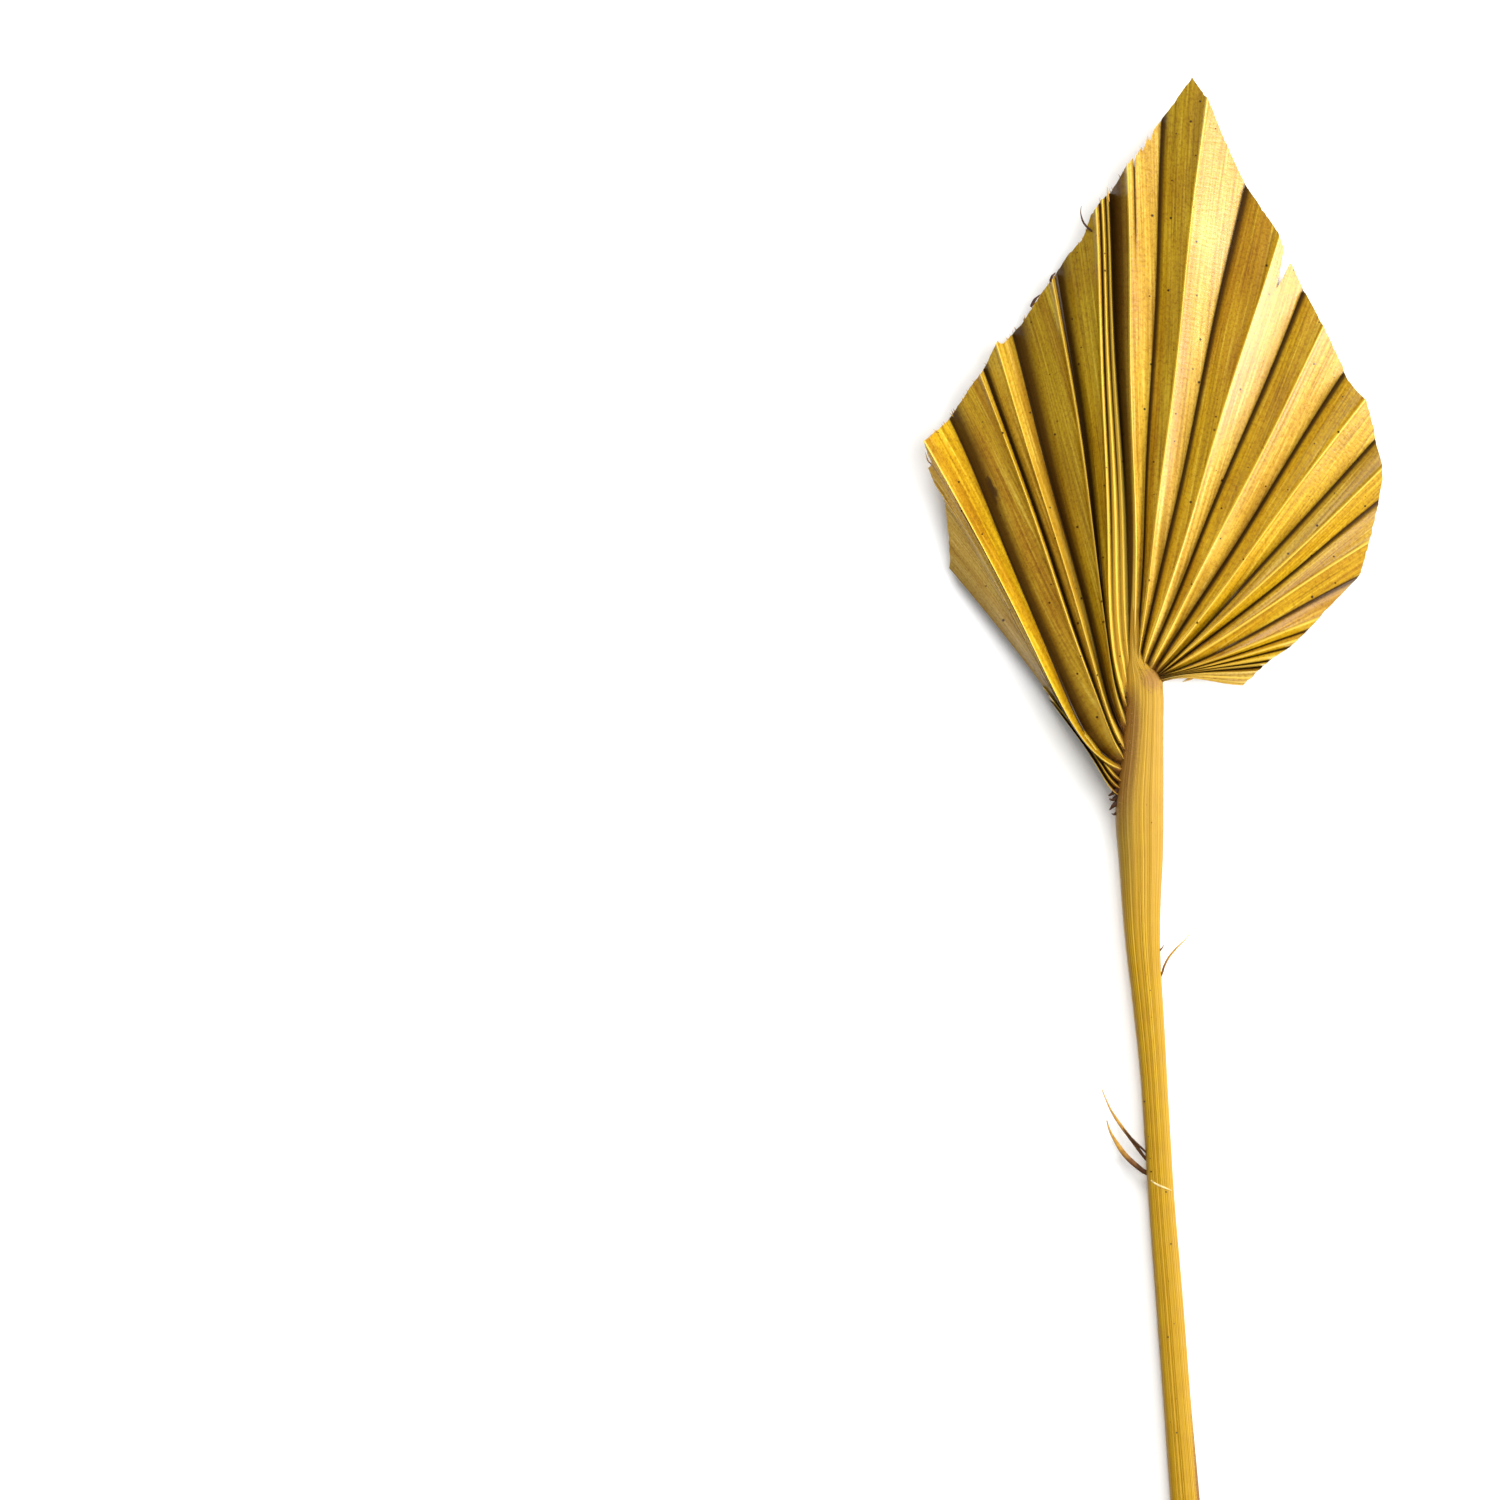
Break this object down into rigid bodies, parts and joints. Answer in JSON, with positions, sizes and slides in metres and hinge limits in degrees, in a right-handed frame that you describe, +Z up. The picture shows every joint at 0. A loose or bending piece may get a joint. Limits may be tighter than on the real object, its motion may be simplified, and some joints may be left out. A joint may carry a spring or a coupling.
{
  "type": "fan palm leaf",
  "caption": "Dried fan palm leaf with a pleated blade trimmed to a pointed spear shape on a long straight stalk, dyed yellow.",
  "frame": {"origin": "middle of the bounding box, on the surface the leaf lies on", "axes": "+Y from the cut end of the stalk to the tip of the blade, +Z up out of the leaf's face, +X to the right of the face"},
  "size_m": [0.1288, 0.4506, 0.0145],
  "materials": {
    "dyed_leaf": "satin"
  },
  "bodies": {
    "root": {"fan_palm_leaf": "dyed_leaf"}
  },
  "joints": []
}
